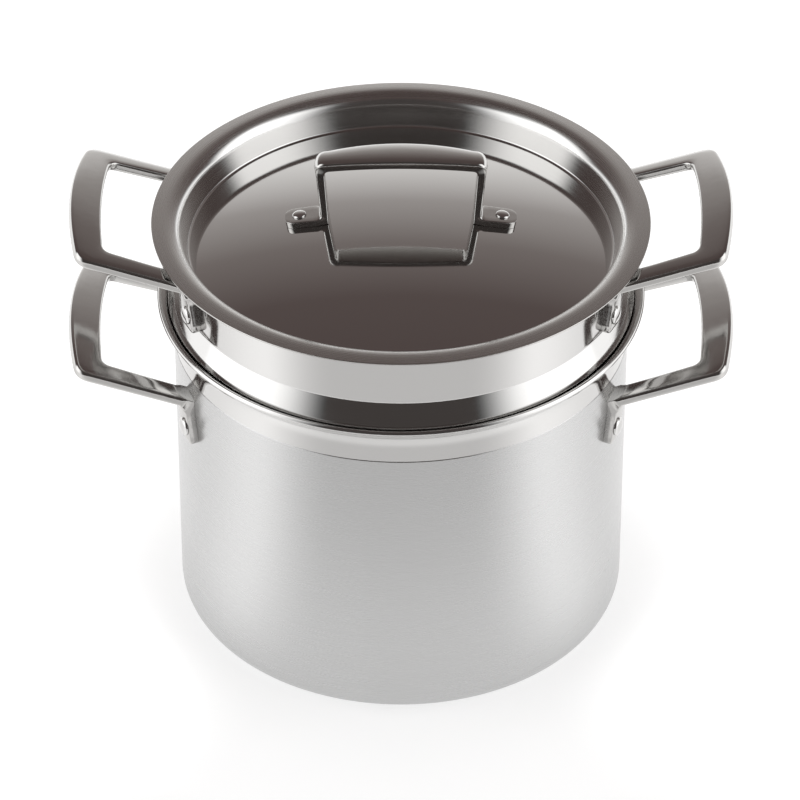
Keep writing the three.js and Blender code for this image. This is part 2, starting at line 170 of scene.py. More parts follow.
# Mesh steps
AROUND = 192
ARC_STEPS = 12
DOME_STEPS = 40
EDGE_STEPS = 4
BEND_STEPS = 4
LEG_STEPS = 6
CORNER_STEPS = 8
GRIP_STEPS = 14
RIVET_STEPS = 32
HEAD_STEPS = 8
CROWN_STEPS = 4
CRISP = 0.2  # softening of an edge that lies against another piece
MOST_SOFTENING = 0.48  # of an edge's length, at either end
WELD = 1e-6  # metres
INSIDE_RIM = 1  # asks the triangulation for the triangles inside the rim
SAME_POINT = 1e-5  # how close two points count as one there
SHARP = math.radians(38)  # edges that turn by more than this aren't shaded smooth

# Camera, fitted to the rings of the pot, the insert and the lid
CAMERA_PLACE = (-0.0005, -2.02846, 1.61958)
CAMERA_PITCH = math.radians(36.49)
CAMERA_LENS = 211.83
CAMERA_SENSOR = 36


# Lines and outlines


def bend(a, b, c, t):
    """The point at t on the curve from a to c that is drawn towards b."""
    return a * (1 - t) ** 2 + b * (2 * t * (1 - t)) + c * t**2


def softened(corner, start, end):
    return [bend(start, corner, end, k / EDGE_STEPS) for k in range(EDGE_STEPS + 1)]


def on_round(radius, turn, height):
    """The point at a turn about Z and a distance from it."""
    return Vector((radius * math.cos(turn), radius * math.sin(turn), height))


def arc(centre_x, centre_y, radius, from_degrees, to_degrees, steps=ARC_STEPS):
    points = []
    for k in range(steps + 1):
        angle = math.radians(from_degrees + (to_degrees - from_degrees) * k / steps)
        points.append(Vector((centre_x + radius * math.cos(angle), centre_y + radius * math.sin(angle))))
    return points


def rounded(corners):
    """A line through corners (x, y, radius), each rounded to its radius."""
    line = [Vector(corners[0][:2])]
    for before, (x, y, radius), after in zip(corners, corners[1:], corners[2:]):
        corner = Vector((x, y))
        back = (Vector(before[:2]) - corner).normalized()
        ahead = (Vector(after[:2]) - corner).normalized()
        opening = back.angle(ahead)
        cut = radius / math.tan(opening / 2)
        start = corner + back * cut
        centre = corner + (back + ahead).normalized() * (radius / math.sin(opening / 2))
        side = math.copysign(1, back.cross(ahead))
        for k in range(ARC_STEPS + 1):
            turn = Matrix.Rotation(-side * (math.pi - opening) * k / ARC_STEPS, 2)
            line.append(centre + turn @ (start - centre))
    return line + [Vector(corners[-1][:2])]


def offset(line, distance):
    """A sheet's other face: each point moved square to the line, to the left for a positive distance."""
    shifted = []
    for i, at in enumerate(line):
        back = (at - line[i - 1]).normalized() if i else None
        ahead = (line[i + 1] - at).normalized() if i + 1 < len(line) else back
        along = ((back or ahead) + ahead).normalized()
        square = Vector((-along.y, along.x))
        shifted.append(at + square * (distance / along.dot(ahead)))
    return shifted


def sheet_outline(line, other, softening):
    """One closed outline out of a sheet's two faces, with the edge at the end of the lines softened."""
    a, b = line[-1], other[-1]
    across = (b - a).normalized() * softening
    start = a + (line[-2] - a).normalized() * softening
    end = b + (other[-2] - b).normalized() * softening
    rim = softened(a, start, a + across) + softened(b, b - across, end)
    return line[:-1] + rim + other[-2::-1]


# Meshes


def strip(line, steps, closed):
    """A line of (radius, height) points turned about Z, as vertices and faces."""
    verts = []
    rings = []
    for radius, height in line:
        if radius == 0:
            rings.append([len(verts)] * steps)
            verts.append(Vector((0, 0, height)))
            continue
        rings.append(range(len(verts), len(verts) + steps))
        for i in range(steps):
            verts.append(on_round(radius, 2 * math.pi * i / steps, height))
    faces = []
    for ring, after in zip(rings, rings[1:] + (rings[:1] if closed else [])):
        for i in range(steps):
            j = (i + 1) % steps
            face = tuple(dict.fromkeys((ring[i], ring[j], after[j], after[i])))
            if len(face) > 2:
                faces.append(face)
    return verts, faces


def joined(*parts):
    """Several vertex and face lists as one."""
    verts = []
    faces = []
    for part_verts, part_faces in parts:
        faces += [tuple(i + len(verts) for i in face) for face in part_faces]
        verts += part_verts
    return verts, faces


def moved(part, matrix):
    verts, faces = part
    return [matrix @ v for v in verts], faces


def towards(corner, other, distance):
    """The point at a distance from one corner on the way to another, at most about half way."""
    way = other - corner
    return corner + way.normalized() * min(distance, MOST_SOFTENING * way.length)


def section(corners, upper, lower, crown):
    """The points round a four-cornered section with softened corners, its first side bowed out."""
    a, b, c, d = corners
    out = (a + b - c - d).normalized() * 4 * crown  # 4 t (1 - t) is one half way along
    cut = (towards(a, b, upper) - a).length / (b - a).length
    places = [cut + (1 - 2 * cut) * k / CROWN_STEPS for k in range(CROWN_STEPS + 1)]
    top = [a.lerp(b, t) + out * t * (1 - t) for t in places]
    return [
        *softened(a, towards(a, d, upper), top[0]),
        *top[1:-1],
        *softened(b, top[-1], towards(b, c, upper)),
        *softened(c, towards(c, b, lower), towards(c, d, lower)),
        *softened(d, towards(d, c, lower), towards(d, a, lower)),
    ]


def loft(sections):
    """A closed skin over a row of four-cornered sections."""
    rings = [section(*settings) for settings in sections]
    count = len(rings[0])
    last = count * (len(rings) - 1)
    faces = [tuple(range(count)), tuple(range(last + count - 1, last - 1, -1))]
    for at in range(0, last, count):
        for i in range(count):
            j = (i + 1) % count
            faces.append((at + i, at + j, at + count + j, at + count + i))
    return [v for ring in rings for v in ring], faces


def make(name, part, body, node, materials, zone=None):
    """A shown piece that stands for a node. zone picks a face's material from its centre in millimetres."""
    verts, faces = part
    mesh = bpy.data.meshes.new(name)
    mesh.from_pydata([v * MM for v in verts], [], faces)
    work = bmesh.new()
    work.from_mesh(mesh)
    bmesh.ops.remove_doubles(work, verts=work.verts, dist=WELD)
    bmesh.ops.recalc_face_normals(work, faces=work.faces)
    for face in work.faces:
        face.smooth = True
        face.material_index = zone(face.calc_center_median() / MM) if zone else 0
    work.to_mesh(mesh)
    work.free()
    mesh.set_sharp_from_angle(angle=SHARP)
    for material in materials:
        mesh.materials.append(material)
    piece = bpy.data.objects.new(name, mesh)
    bpy.context.scene.collection.objects.link(piece)
    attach(piece, body)
    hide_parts(node)
    return piece


# Materials


WHITE = (1, 1, 1)
NOISE_LOW = 0.3  # nearly all of a noise lies between these
NOISE_HIGH = 0.7
COARSE = 2  # details of a noise
FINE = 3
BRUSH_ALONG = 9  # scale of the brushed lines along and across their run, and of the patches in them
BRUSH_ACROSS = 2600
BRUSH_PATCHES = 14
BRUSH_UNEVEN = 1 / 3  # how much the patches spread the gloss, as a share of what the lines do
BRUSH_TURN = 0.25  # of a whole turn, from the run of the lines to the way they spread the light
BRUSH_BUMP = (0.012, 0.0002)  # strength, and depth in metres
WIPE_ALONG = 12  # the same for the wiping marks in polished steel
WIPE_ACROSS = 500
WIPE_PATCHES = 22
WIPE_BUMP = (0.04, 0.0004)
CAST_RIPPLE = 90  # scales of the casting's ripples and grain
CAST_GRAIN = 900
CAST_BUMP = (0.1, 0.0006)


def shader(name):
    """A new material, its node tree and its main shader."""
    material = bpy.data.materials.new(name)
    material.use_nodes = True
    return material, material.node_tree, material.node_tree.nodes["Principled BSDF"]


def feed(tree, node, inputs):
    """Give a node its inputs, each a number, a colour or another node's output."""
    for socket, value in inputs.items():
        if isinstance(value, bpy.types.NodeSocket):
            tree.links.new(value, node.inputs[socket])
        else:
            node.inputs[socket].default_value = value


def add(tree, kind, inputs, **settings):
    """The outputs of a new node with the given inputs and settings."""
    node = tree.nodes.new(kind)
    for key, value in settings.items():
        setattr(node, key, value)
    feed(tree, node, inputs)
    return node.outputs


def combined(tree, operation, a, b):
    return add(tree, "ShaderNodeMath", {0: a, 1: b}, operation=operation)["Value"]


def vector(tree, x, y, z):
    return add(tree, "ShaderNodeCombineXYZ", {"X": x, "Y": y, "Z": z})["Vector"]


def length(tree, line):
    return add(tree, "ShaderNodeVectorMath", {0: line}, operation="LENGTH")["Value"]


def direction(tree, line):
    return add(tree, "ShaderNodeVectorMath", {0: line}, operation="NORMALIZE")["Vector"]


def split(tree, line):
    """The X, Y and Z of a vector."""
    outputs = add(tree, "ShaderNodeSeparateXYZ", {"Vector": line})
    return outputs["X"], outputs["Y"], outputs["Z"]


def noise(tree, coordinates, scale, detail):
    inputs = {"Vector": coordinates, "Scale": scale, "Detail": detail}
    return add(tree, "ShaderNodeTexNoise", inputs)["Fac"]


def mapped(tree, value, low, high):
    """A noise spread between two values."""
    inputs = {"Value": value, "From Min": NOISE_LOW, "From Max": NOISE_HIGH, "To Min": low, "To Max": high}
    return add(tree, "ShaderNodeMapRange", inputs)["Result"]


def plain_coordinates(tree):
    return add(tree, "ShaderNodeTexCoord", {})["Object"]


def ring_coordinates(tree, along, across):
    """Coordinates for marks that run round the Z axis, on upright walls and on flat rings alike."""
    x, y, z = split(tree, plain_coordinates(tree))
    level = combined(tree, "ADD", length(tree, vector(tree, x, y, 0)), z)
    return vector(tree, x, y, combined(tree, "MULTIPLY", level, across / along))


def bumped(tree, height, strength, distance):
    inputs = {"Height": height, "Strength": strength, "Distance": distance}
    return add(tree, "ShaderNodeBump", inputs)["Normal"]


def steel(name, colour):
    """A new metal of one colour: its material, node tree and main shader."""
    material, tree, main = shader(name)
    feed(tree, main, {"Base Color": (*colour, 1), "Metallic": 1})
    return material, tree, main


def uneven_gloss(tree, roughness, fine, fine_spread, soft, soft_spread):
    """A roughness that is spread to either side by a fine noise and by a soft one."""
    small = mapped(tree, fine, -fine_spread, fine_spread)
    large = mapped(tree, soft, roughness - soft_spread, roughness + soft_spread)
    return combined(tree, "ADD", small, large)


def satin_steel(name, colour, roughness, spread, anisotropy):
    """Steel brushed round the axis: fine lines that follow the ring, with soft uneven patches."""
    material, tree, main = steel(name, colour)
    lines = noise(tree, ring_coordinates(tree, BRUSH_ALONG, BRUSH_ACROSS), BRUSH_ALONG, FINE)
    patches = noise(tree, plain_coordinates(tree), BRUSH_PATCHES, COARSE)
    feed(tree, main, {
        "Anisotropic": anisotropy,
        "Anisotropic Rotation": BRUSH_TURN,
        "Tangent": add(tree, "ShaderNodeTangent", {}, direction_type="RADIAL", axis="Z")["Tangent"],
        "Roughness": uneven_gloss(tree, roughness, lines, spread, patches, spread * BRUSH_UNEVEN),
        "Normal": bumped(tree, lines, *BRUSH_BUMP),
    })
    return material


def polished_steel(name, colour, roughness, spread):
    """Polished steel: faint wiping marks in the gloss and a barely uneven surface."""
    material, tree, main = steel(name, colour)
    marks = noise(tree, ring_coordinates(tree, WIPE_ALONG, WIPE_ACROSS), WIPE_ALONG, FINE)
    patches = noise(tree, plain_coordinates(tree), WIPE_PATCHES, FINE)
    feed(tree, main, {
        "Roughness": uneven_gloss(tree, roughness, marks, spread / 2, patches, spread / 2),
        "Normal": bumped(tree, patches, *WIPE_BUMP),
    })
    return material


def cast_steel(name, colour, roughness, spread):
    """Polished castings: a slightly rippled surface with a fine uneven gloss."""
    material, tree, main = steel(name, colour)
    place = plain_coordinates(tree)
    ripple = noise(tree, place, CAST_RIPPLE, COARSE)
    grain = noise(tree, place, CAST_GRAIN, FINE)
    feed(tree, main, {
        "Roughness": uneven_gloss(tree, roughness, grain, spread / 2, ripple, spread / 2),
        "Normal": bumped(tree, ripple, *CAST_BUMP),
    })
    return material


STEEL = (0.62, 0.614, 0.605)
SATIN = (0.565, 0.565, 0.563)
CAST = (0.53, 0.522, 0.51)
FLANGE = (0.52, 0.508, 0.495)
SATIN_WALL = satin_steel("pot_satin", SATIN, roughness=0.28, spread=0.02, anisotropy=0.7)
POLISHED_BAND = polished_steel("pot_polish", STEEL, roughness=0.1, spread=0.03)
POLISHED_SHEET = polished_steel("insert_polish", STEEL, roughness=0.1, spread=0.03)
LID_MIRROR = polished_steel("lid_mirror", STEEL, roughness=0.06, spread=0.02)
LID_SATIN = satin_steel("lid_satin", FLANGE, roughness=0.27, spread=0.05, anisotropy=0.5)
LID_SPUN = satin_steel("lid_spun", STEEL, roughness=0.16, spread=0.04, anisotropy=0.2)
CASTING = cast_steel("handle_casting", CAST, roughness=0.13, spread=0.05)
RIVET_STEEL = cast_steel("rivet_polish", STEEL, roughness=0.12, spread=0.04)


# Pot


def pot_line():
    """The pot's outer face, from the middle of the base to the edge of the lip."""
    wall = [
        Vector((POT_RADIUS, POT_CORNER + WALL_RING)),
        Vector((POT_RADIUS, POLISH_LINE - GROOVE_HALF_HEIGHT)),
        Vector((POT_RADIUS - GROOVE_DEPTH, POLISH_LINE)),
        Vector((POT_RADIUS, POLISH_LINE + GROOVE_HALF_HEIGHT)),
        Vector((POT_RADIUS, LIP_START - WALL_RING)),
    ]
    return [
        Vector((0, 0)),
        *arc(POT_RADIUS - POT_CORNER, POT_CORNER, POT_CORNER, -90, 0),
        *wall,
        *arc(POT_RADIUS + LIP_RADIUS, LIP_START, LIP_RADIUS, 180, 180 - LIP_ANGLE),
    ]


def pot_wall():
    outside = pot_line()
    inside = [
        Vector((0, POT_SHEET)),
        *arc(POT_RADIUS - POT_CORNER, POT_CORNER, POT_CORNER - POT_SHEET, -90, 0),
        *arc(POT_RADIUS + LIP_RADIUS, LIP_START, LIP_RADIUS + POT_SHEET, 180, 180 - LIP_ANGLE),
    ]
    return strip(sheet_outline(outside, inside, LIP_SOFTENING), AROUND, True)


def make_pot():
    def zone(centre):
        return 1 if centre.z > POLISH_LINE else 0

    make("pot_shell", pot_wall(), "pot", "pot_body", [SATIN_WALL, POLISHED_BAND], zone)


# Strainer insert


def seat_line():
    """The insert's outer face from the top of the holed wall, over the seat, to the top of the collar."""
    tilt = math.radians(SEAT_ANGLE)
    reach = LIP_RADIUS + POT_SHEET + SEAT_GAP + SEAT_BEND
    seat_x = POT_RADIUS + LIP_RADIUS - reach * math.cos(tilt)
    seat_y = LIP_START + reach * math.sin(tilt)
    foot = Vector((math.cos(tilt), -math.sin(tilt))) * SEAT_BEND
    neck = seat_y + foot.y - (seat_x + foot.x - BASKET_RADIUS) / math.tan(tilt)
    lean = math.atan2(seat_x + SEAT_BEND - COLLAR_RADIUS, COLLAR_BREAK - seat_y)
    crest = Vector((math.cos(lean), math.sin(lean))) * SEAT_BEND
    wall = rounded([
        (BASKET_RADIUS, WALL_TOP, 0),
        (BASKET_RADIUS, neck, SEAT_BEND),
        (seat_x + foot.x, seat_y + foot.y, 0),
    ])
    seat = arc(seat_x, seat_y, SEAT_BEND, -SEAT_ANGLE, math.degrees(lean))
    collar = rounded([
        (seat_x + crest.x, seat_y + crest.y, 0),
        (COLLAR_RADIUS, COLLAR_BREAK, COLLAR_BREAK_BEND),
        (COLLAR_RADIUS, COLLAR_TOP, 0),
    ])
    return wall[:-1] + seat + collar[1:]


def cell_edge():
    """The grid steps round a cell's edge from its lower left corner, counted from the cell's centre."""
    half = CELL_STEPS // 2
    steps = range(CELL_STEPS)
    bottom = [(k - half, -half) for k in steps]
    right = [(half, k - half) for k in steps]
    top = [(half - k, half) for k in steps]
    left = [(-half, half - k) for k in steps]
    return bottom + right + top + left


def wall_cell(middle, height):
    """A square of the basket's wall round one hole: its two faces and the wall of the hole."""
    edge = cell_edge()
    level = WALL_HOLE_PITCH / CELL_STEPS
    verts = []
    for radius in (BASKET_RADIUS, BASKET_RADIUS - INSERT_SHEET):
        for column, step in edge:
            turn = 2 * math.pi * (middle + column) / BASKET_COLUMNS
            verts.append(on_round(radius, turn, height + step * level))
        for k in range(HOLE_STEPS):
            angle = CELL_START + 2 * math.pi * k / HOLE_STEPS
            turn = 2 * math.pi * middle / BASKET_COLUMNS + HOLE_RADIUS * math.cos(angle) / radius
            verts.append(on_round(radius, turn, height + HOLE_RADIUS * math.sin(angle)))
    outside, hole_out, inside, hole_in = range(0, len(verts), HOLE_STEPS)
    faces = []
    for k in range(HOLE_STEPS):
        n = (k + 1) % HOLE_STEPS
        for a, b in ((outside, hole_out), (hole_out, hole_in), (hole_in, inside)):
            faces.append((a + k, a + n, b + n, b + k))
    return verts, faces


def holed_wall():
    """The basket's wall with its rows of round holes, every other row set off by half a hole's step."""
    cells = []
    for row in range(WALL_HOLE_ROWS):
        for i in range(WALL_HOLES_PER_ROW):
            middle = (i + row % 2 / 2) * CELL_STEPS
            cells.append(wall_cell(middle, WALL_HOLES_FROM + row * WALL_HOLE_PITCH))
    return joined(*cells)


def bottom_holes():
    """The centres of the holes in the basket's bottom."""
    centres = [Vector((0, 0))]
    for ring in range(1, BOTTOM_HOLE_RINGS + 1):
        count = BOTTOM_HOLES_ADDED * ring
        for i in range(count):
            turn = 2 * math.pi * i / count
            centres.append(Vector((math.cos(turn), math.sin(turn))) * ring * BOTTOM_HOLE_PITCH)
    return centres


def holed_bottom():
    """The flat round bottom of the basket with its holes, both faces and the holes' walls."""
    loops = [arc(0, 0, BASKET_RADIUS - BASKET_CORNER, 0, 360, BASKET_COLUMNS)[:-1]]
    for centre in bottom_holes():
        loops.append(arc(centre.x, centre.y, HOLE_RADIUS, 0, 360, HOLE_STEPS)[:-1])
    flat = []
    edges = []
    for loop in loops:
        first = len(flat)
        edges += [(first + k, first + (k + 1) % len(loop)) for k in range(len(loop))]
        flat += loop
    rim = list(range(len(loops[0])))
    points, _, triangles, *_ = delaunay_2d_cdt(flat, edges, [rim], INSIDE_RIM, SAME_POINT)
    verts = []
    faces = []
    for height in (BASKET_BOTTOM, BASKET_BOTTOM + INSERT_SHEET):
        first = len(verts)
        verts += [Vector((x, y, height)) for x, y in points]
        for face in triangles:
            centre = sum((points[i] for i in face), Vector((0, 0))) / len(face)
            if all((centre - hole).length > HOLE_RADIUS for hole in bottom_holes()):
                faces.append(tuple(first + i for i in face))
    for a, b in edges[len(rim):]:
        faces.append((a, b, b + len(points), a + len(points)))
    return verts, faces


def basket():
    corner_x = BASKET_RADIUS - BASKET_CORNER
    corner_y = BASKET_BOTTOM + BASKET_CORNER
    strips = []
    for inset in (0, INSERT_SHEET):
        foot = arc(corner_x, corner_y, BASKET_CORNER - inset, -90, 0)
        foot.append(Vector((BASKET_RADIUS - inset, WALL_FOOT)))
        strips.append(strip(foot, BASKET_COLUMNS, False))
    outside = seat_line()
    upper = sheet_outline(outside, offset(outside, INSERT_SHEET), SHEET_SOFTENING)
    return joined(holed_wall(), holed_bottom(), *strips, strip(upper, BASKET_COLUMNS, False))


def shade_round(mesh):
    """Shade the holed wall as a true round, since its cells are large and run unevenly to the holes."""
    normals = [Vector((0, 0, 0)) for _ in mesh.loops]
    for face in mesh.polygons:
        spokes = [Vector((*mesh.vertices[i].co.xy, 0)) for i in face.vertices]
        for radius, side in ((BASKET_RADIUS, 1), (BASKET_RADIUS - INSERT_SHEET, -1)):
            if all(abs(spoke.length - radius * MM) < WELD for spoke in spokes):
                for corner, spoke in zip(face.loop_indices, spokes):
                    normals[corner] = spoke.normalized() * side
    mesh.normals_split_custom_set(normals)


def make_insert():
    part = basket()
    piece = make("strainer_basket", part, "insert", "strainer_insert", [POLISHED_SHEET])
    shade_round(piece.data)


# Lid


def lid_line():
    """The lid's top face, from the middle of the dome to the edge of the flange."""
    dome_angle = math.degrees(math.asin(DOME_EDGE / DOME_SPHERE))
    dome = arc(0, DOME_TOP - DOME_SPHERE, DOME_SPHERE, 90, 90 - dome_angle, DOME_STEPS)
    dome[0].x = 0
    fold = Vector(LID_FOLD)
    edge = Vector((LID_RADIUS, LID_EDGE_HEIGHT))
    crown = (fold + edge) / 2 + Vector((0, 2 * FLANGE_CROWN))  # the bend reaches half way to it
    well = rounded([
        (*dome[-2], 0),
        (*dome[-1], LID_FOOT_BEND),
        (*LID_FOLD, LID_FOLD_BEND),
        (*bend(fold, crown, edge, FLANGE_START), 0),
    ])
    places = [FLANGE_START + (1 - FLANGE_START) * k / ARC_STEPS for k in range(ARC_STEPS + 1)]
    flange = [bend(fold, crown, edge, t) for t in places]
    return dome[:-2] + well[:-1] + flange


def lid_pan():
    top = lid_line()
    under = offset(top, -LID_SHEET)
    under[0].x = 0
    return strip(sheet_outline(top, under, SHEET_SOFTENING), AROUND, True)


def make_lid():
    def zone(centre):
        radius = math.hypot(centre.x, centre.y)
        if radius < DOME_EDGE:
            return 0
        return 1 if radius < FLANGE_FINISH else 2

    make("lid_pan", lid_pan(), "lid", "lid", [LID_MIRROR, LID_SPUN, LID_SATIN], zone)


# Rivets


def rivet(grip, head, shank):
    """A rivet along Z, with its inner head's seat at zero and its outer head's seat at the grip."""
    rise = head * HEAD_RISE
    dome = [Vector((p.x * head, p.y * rise + HEAD_EDGE)) for p in arc(0, 0, 1, 90, 0, HEAD_STEPS)]
    dome[0].x = 0
    outer = [Vector((0, grip)) + p for p in dome] + [Vector((head, grip)), Vector((shank, grip))]
    inner = [Vector((p.x, grip - p.y)) for p in outer]
    return strip(outer + inner[::-1], RIVET_STEPS, True)


# Side handles


def tab_turn(wall_radius):
    return math.asin(TAB_SIDE_OFFSET / wall_radius)


def rounding_steps(size):
    """How far from an end the sections of its rounding lie."""
    return [size * (1 - math.cos(math.pi / 2 * k / BEND_STEPS)) for k in range(BEND_STEPS + 1)]


def loop_outline(start, root, end, grip, bow, cut):
    """One edge of half the loop in its own plane, from the wall to the middle of the grip."""
    corner = Vector((grip, end))
    peak = Vector((grip + 2 * bow, 0))  # the bend reaches half way to it
    first = Vector((start, root))
    before = corner + (first - corner).normalized() * cut
    after = corner + (peak - corner).normalized() * cut
    far = Vector((after.x, -after.y))
    points = [first.lerp(before, k / LEG_STEPS) for k in range(LEG_STEPS)]
    points += [bend(before, corner, after, k / CORNER_STEPS) for k in range(CORNER_STEPS)]
    points += [bend(after, peak, far, k / GRIP_STEPS / 2) for k in range(GRIP_STEPS + 1)]
    return points


def tab_sections(wall_radius, rivet_height, top, inner, outer):
    """The sections of a tab from its lower end up to the bend, where it has the leg's width."""
    turn = tab_turn(wall_radius)
    outward = on_round(1, turn, 0)
    bottom = rivet_height - TAB_BELOW_RIVET
    straight = bottom + TAB_ROUND
    heights = [bottom + step for step in rounding_steps(TAB_ROUND)]
    heights += [straight + (top - straight) * k / LEG_STEPS for k in range(1, LEG_STEPS)]
    sections = []
    for height in heights:
        share = (height - bottom) / (top - bottom)
        drop = max(straight - height, 0)
        trim = TAB_ROUND - math.sqrt(TAB_ROUND**2 - drop**2)
        thickness = TAB_END_THICKNESS + (TAB_THICKNESS - TAB_END_THICKNESS) * share - trim * TAB_END_TRIM
        sides = []
        for side, rest in ((outer, TAB_HALF_WIDTH), (inner, -TAB_HALF_WIDTH)):
            width = rest + (side - rest) * share - math.copysign(trim, rest)
            sides.append(on_round(wall_radius, turn + width / wall_radius, height))
        front = [p + outward * thickness for p in sides]
        sections.append(([sides[0], sides[1], front[1], front[0]], CRISP, HANDLE_UNDER_SOFTENING, 0))
    return sections


def loop_arch(y):
    """How far the loop bows up at a distance to the side."""
    return HANDLE_ARCH * (1 - (y / LEG_ROOT_OUTER) ** 2)


def on_loop(root, u, y):
    """The point on top of the loop that lies u out along the legs and y to the side."""
    return root + LEG_ALONG * u + LEG_UP * loop_arch(y) + Vector((0, y, 0))


def leg_bend(corner, first, outward):
    """One edge of the bend from a tab to the first point of its leg, as points on top and underneath."""
    below = corner - Vector((0, 0, HANDLE_THICKNESS / LEG_ALONG.x + TAB_BEND))
    foot = below + outward
    elbow = corner + outward + LEG_DOWN
    upper = [below, (below + corner) / 2, corner, (corner + first) / 2]
    under = [bend(foot, elbow, first + LEG_DOWN, k / BEND_STEPS) for k in range(BEND_STEPS)]
    return list(zip(upper, under))


def half_loop(wall_radius, reach, rivet_height):
    """The sections of the back half of a right-hand handle, from its tab's end to mid grip."""
    turn = tab_turn(wall_radius)
    outward = on_round(TAB_THICKNESS, turn, 0)
    root = Vector((wall_radius * math.cos(turn), 0, rivet_height + LEG_ABOVE_RIVET))
    grip_end = (reach - root.x) / LEG_ALONG.x
    outer_grip = grip_end - GRIP_OUTER_BOW
    inner_grip = grip_end - GRIP_WIDTH - GRIP_INNER_BOW
    edges = []
    bends = []
    widths = []
    for half_width, end, grip, bow, cut in (
        (LEG_ROOT_OUTER, LEG_END_OUTER, outer_grip, GRIP_OUTER_BOW, GRIP_OUTER_ROUND),
        (LEG_ROOT_INNER, LEG_END_INNER, inner_grip, GRIP_INNER_BOW, GRIP_INNER_ROUND),
    ):
        contact = math.asin(half_width / wall_radius)
        wall_x = wall_radius * math.cos(contact)
        wall_u = (wall_x - root.x - LEG_UP.x * loop_arch(half_width)) / LEG_ALONG.x
        start = wall_u + TAB_THICKNESS + TAB_BEND
        edge = [on_loop(root, u, y) for u, y in loop_outline(start, half_width, end, grip, bow, cut)]
        edges.append(edge)
        bends.append(leg_bend(on_loop(root, wall_u, half_width), edge[0], outward))
        widths.append((contact - turn) * wall_radius)
    top = min(bends[0][0][0].z, bends[1][0][0].z)
    sections = tab_sections(wall_radius, rivet_height, top, widths[1], widths[0])
    for (outer_up, outer_under), (inner_up, inner_under) in zip(*bends):
        sections.append(([outer_up, inner_up, inner_under, outer_under], CRISP, HANDLE_UNDER_SOFTENING, 0))
    for outer, inner in zip(*edges):
        corners = [outer, inner, inner + LEG_DOWN, outer + LEG_DOWN]
        sections.append((corners, HANDLE_SOFTENING, HANDLE_UNDER_SOFTENING, HANDLE_CROWN))
    return sections


def side_handle(wall_radius, reach, rivet_height):
    half = half_loop(wall_radius, reach, rivet_height)
    front = []
    for corners, *edges in half[-2::-1]:
        front.append(([Vector((p.x, -p.y, p.z)) for p in corners], *edges))
    return loft(half + front)


def make_side_handles(body, wall_radius, sheet, reach, rivet_height):
    loop = side_handle(wall_radius, reach, rivet_height)
    share = TAB_BELOW_RIVET / (TAB_BELOW_RIVET + LEG_ABOVE_RIVET - HANDLE_THICKNESS - TAB_BEND)
    tab = TAB_END_THICKNESS + (TAB_THICKNESS - TAB_END_THICKNESS) * share
    stud = rivet(sheet + tab, RIVET_HEAD, RIVET_SHANK)
    laid = Matrix.Rotation(math.pi / 2, 4, "Y")
    lying = Matrix.Translation((wall_radius - sheet, 0, rivet_height)) @ laid
    for hand, half_turn in (("left", math.pi), ("right", 0)):
        about = Matrix.Rotation(half_turn, 4, "Z")
        node = f"{body}_handle_{hand}"
        make(f"{body}_loop_{hand}", moved(loop, about), body, node, [CASTING])
        for side in (-1, 1):
            turn = half_turn + side * tab_turn(wall_radius)
            end = "front" if math.sin(turn) < 0 else "back"
            placed = moved(stud, Matrix.Rotation(turn, 4, "Z") @ lying)
            node = f"{body}_rivet_{hand}_{end}"
            make(f"{body}_stud_{hand}_{end}", placed, body, node, [RIVET_STEEL])


# Lid handle


def dome_height(x):
    return DOME_TOP - DOME_SPHERE + math.sqrt(DOME_SPHERE**2 - x**2)


def dome_square(x):
    """The direction square to the dome."""
    return Vector((x, dome_height(x) - (DOME_TOP - DOME_SPHERE))).normalized()


def on_lug(x):
    return Vector((x, dome_height(x))) + dome_square(x) * LUG_THICKNESS


def lug_sections():
    """A lug's sections from its end to the leg: a point on top, one underneath and the half width."""
    root = FOOT_OUTER + FOOT_BEND
    straight = LUG_END - LUG_ROUND
    places = [LUG_END - step for step in rounding_steps(LUG_ROUND)]
    places += [straight + (root - straight) * k / LEG_STEPS for k in range(1, LEG_STEPS + 1)]
    sections = []
    for x in places:
        past = max(x - straight, 0)
        trim = LUG_ROUND - math.sqrt(LUG_ROUND**2 - past**2)
        share = (LUG_END - x) / (LUG_END - root)
        half_width = LUG_END_HALF_WIDTH + (LUG_HALF_WIDTH - LUG_END_HALF_WIDTH) * share - trim
        sections.append((on_lug(x), Vector((x, dome_height(x))), half_width))
    return sections


def leg_sections():
    """The same from the bend at the leg's foot up to the bar's corner."""
    root = FOOT_OUTER + FOOT_BEND
    lug_top = on_lug(root)
    below = Vector((root, dome_height(root)))
    knee = Vector((FOOT_OUTER, lug_top.y))
    foot_x = FOOT_OUTER - FOOT_THICKNESS
    foot = Vector((foot_x, dome_height(foot_x)))
    outer_start = knee + (BAR_OUTER_CORNER - knee).normalized() * FOOT_BEND
    inner_start = foot + (BAR_INNER_CORNER - foot).normalized() * (LUG_THICKNESS + FOOT_BEND)
    outer_end = BAR_OUTER_CORNER + (outer_start - BAR_OUTER_CORNER).normalized() * BAR_OUTER_ROUND
    inner_end = BAR_INNER_CORNER + (inner_start - BAR_INNER_CORNER).normalized() * BAR_INNER_ROUND
    sections = []
    for k in range(1, BEND_STEPS + 1):
        t = k / BEND_STEPS
        inner = below.lerp(foot, 2 * t) if 2 * t <= 1 else foot.lerp(inner_start, 2 * t - 1)
        width = LUG_HALF_WIDTH + (FOOT_HALF_WIDTH - LUG_HALF_WIDTH) * t
        sections.append((bend(lug_top, knee, outer_start, t), inner, width))
    for k in range(1, LEG_STEPS + 1):
        t = k / LEG_STEPS
        width = FOOT_HALF_WIDTH + (LEG_TOP_HALF_WIDTH - FOOT_HALF_WIDTH) * t
        sections.append((outer_start.lerp(outer_end, t), inner_start.lerp(inner_end, t), width))
    return sections


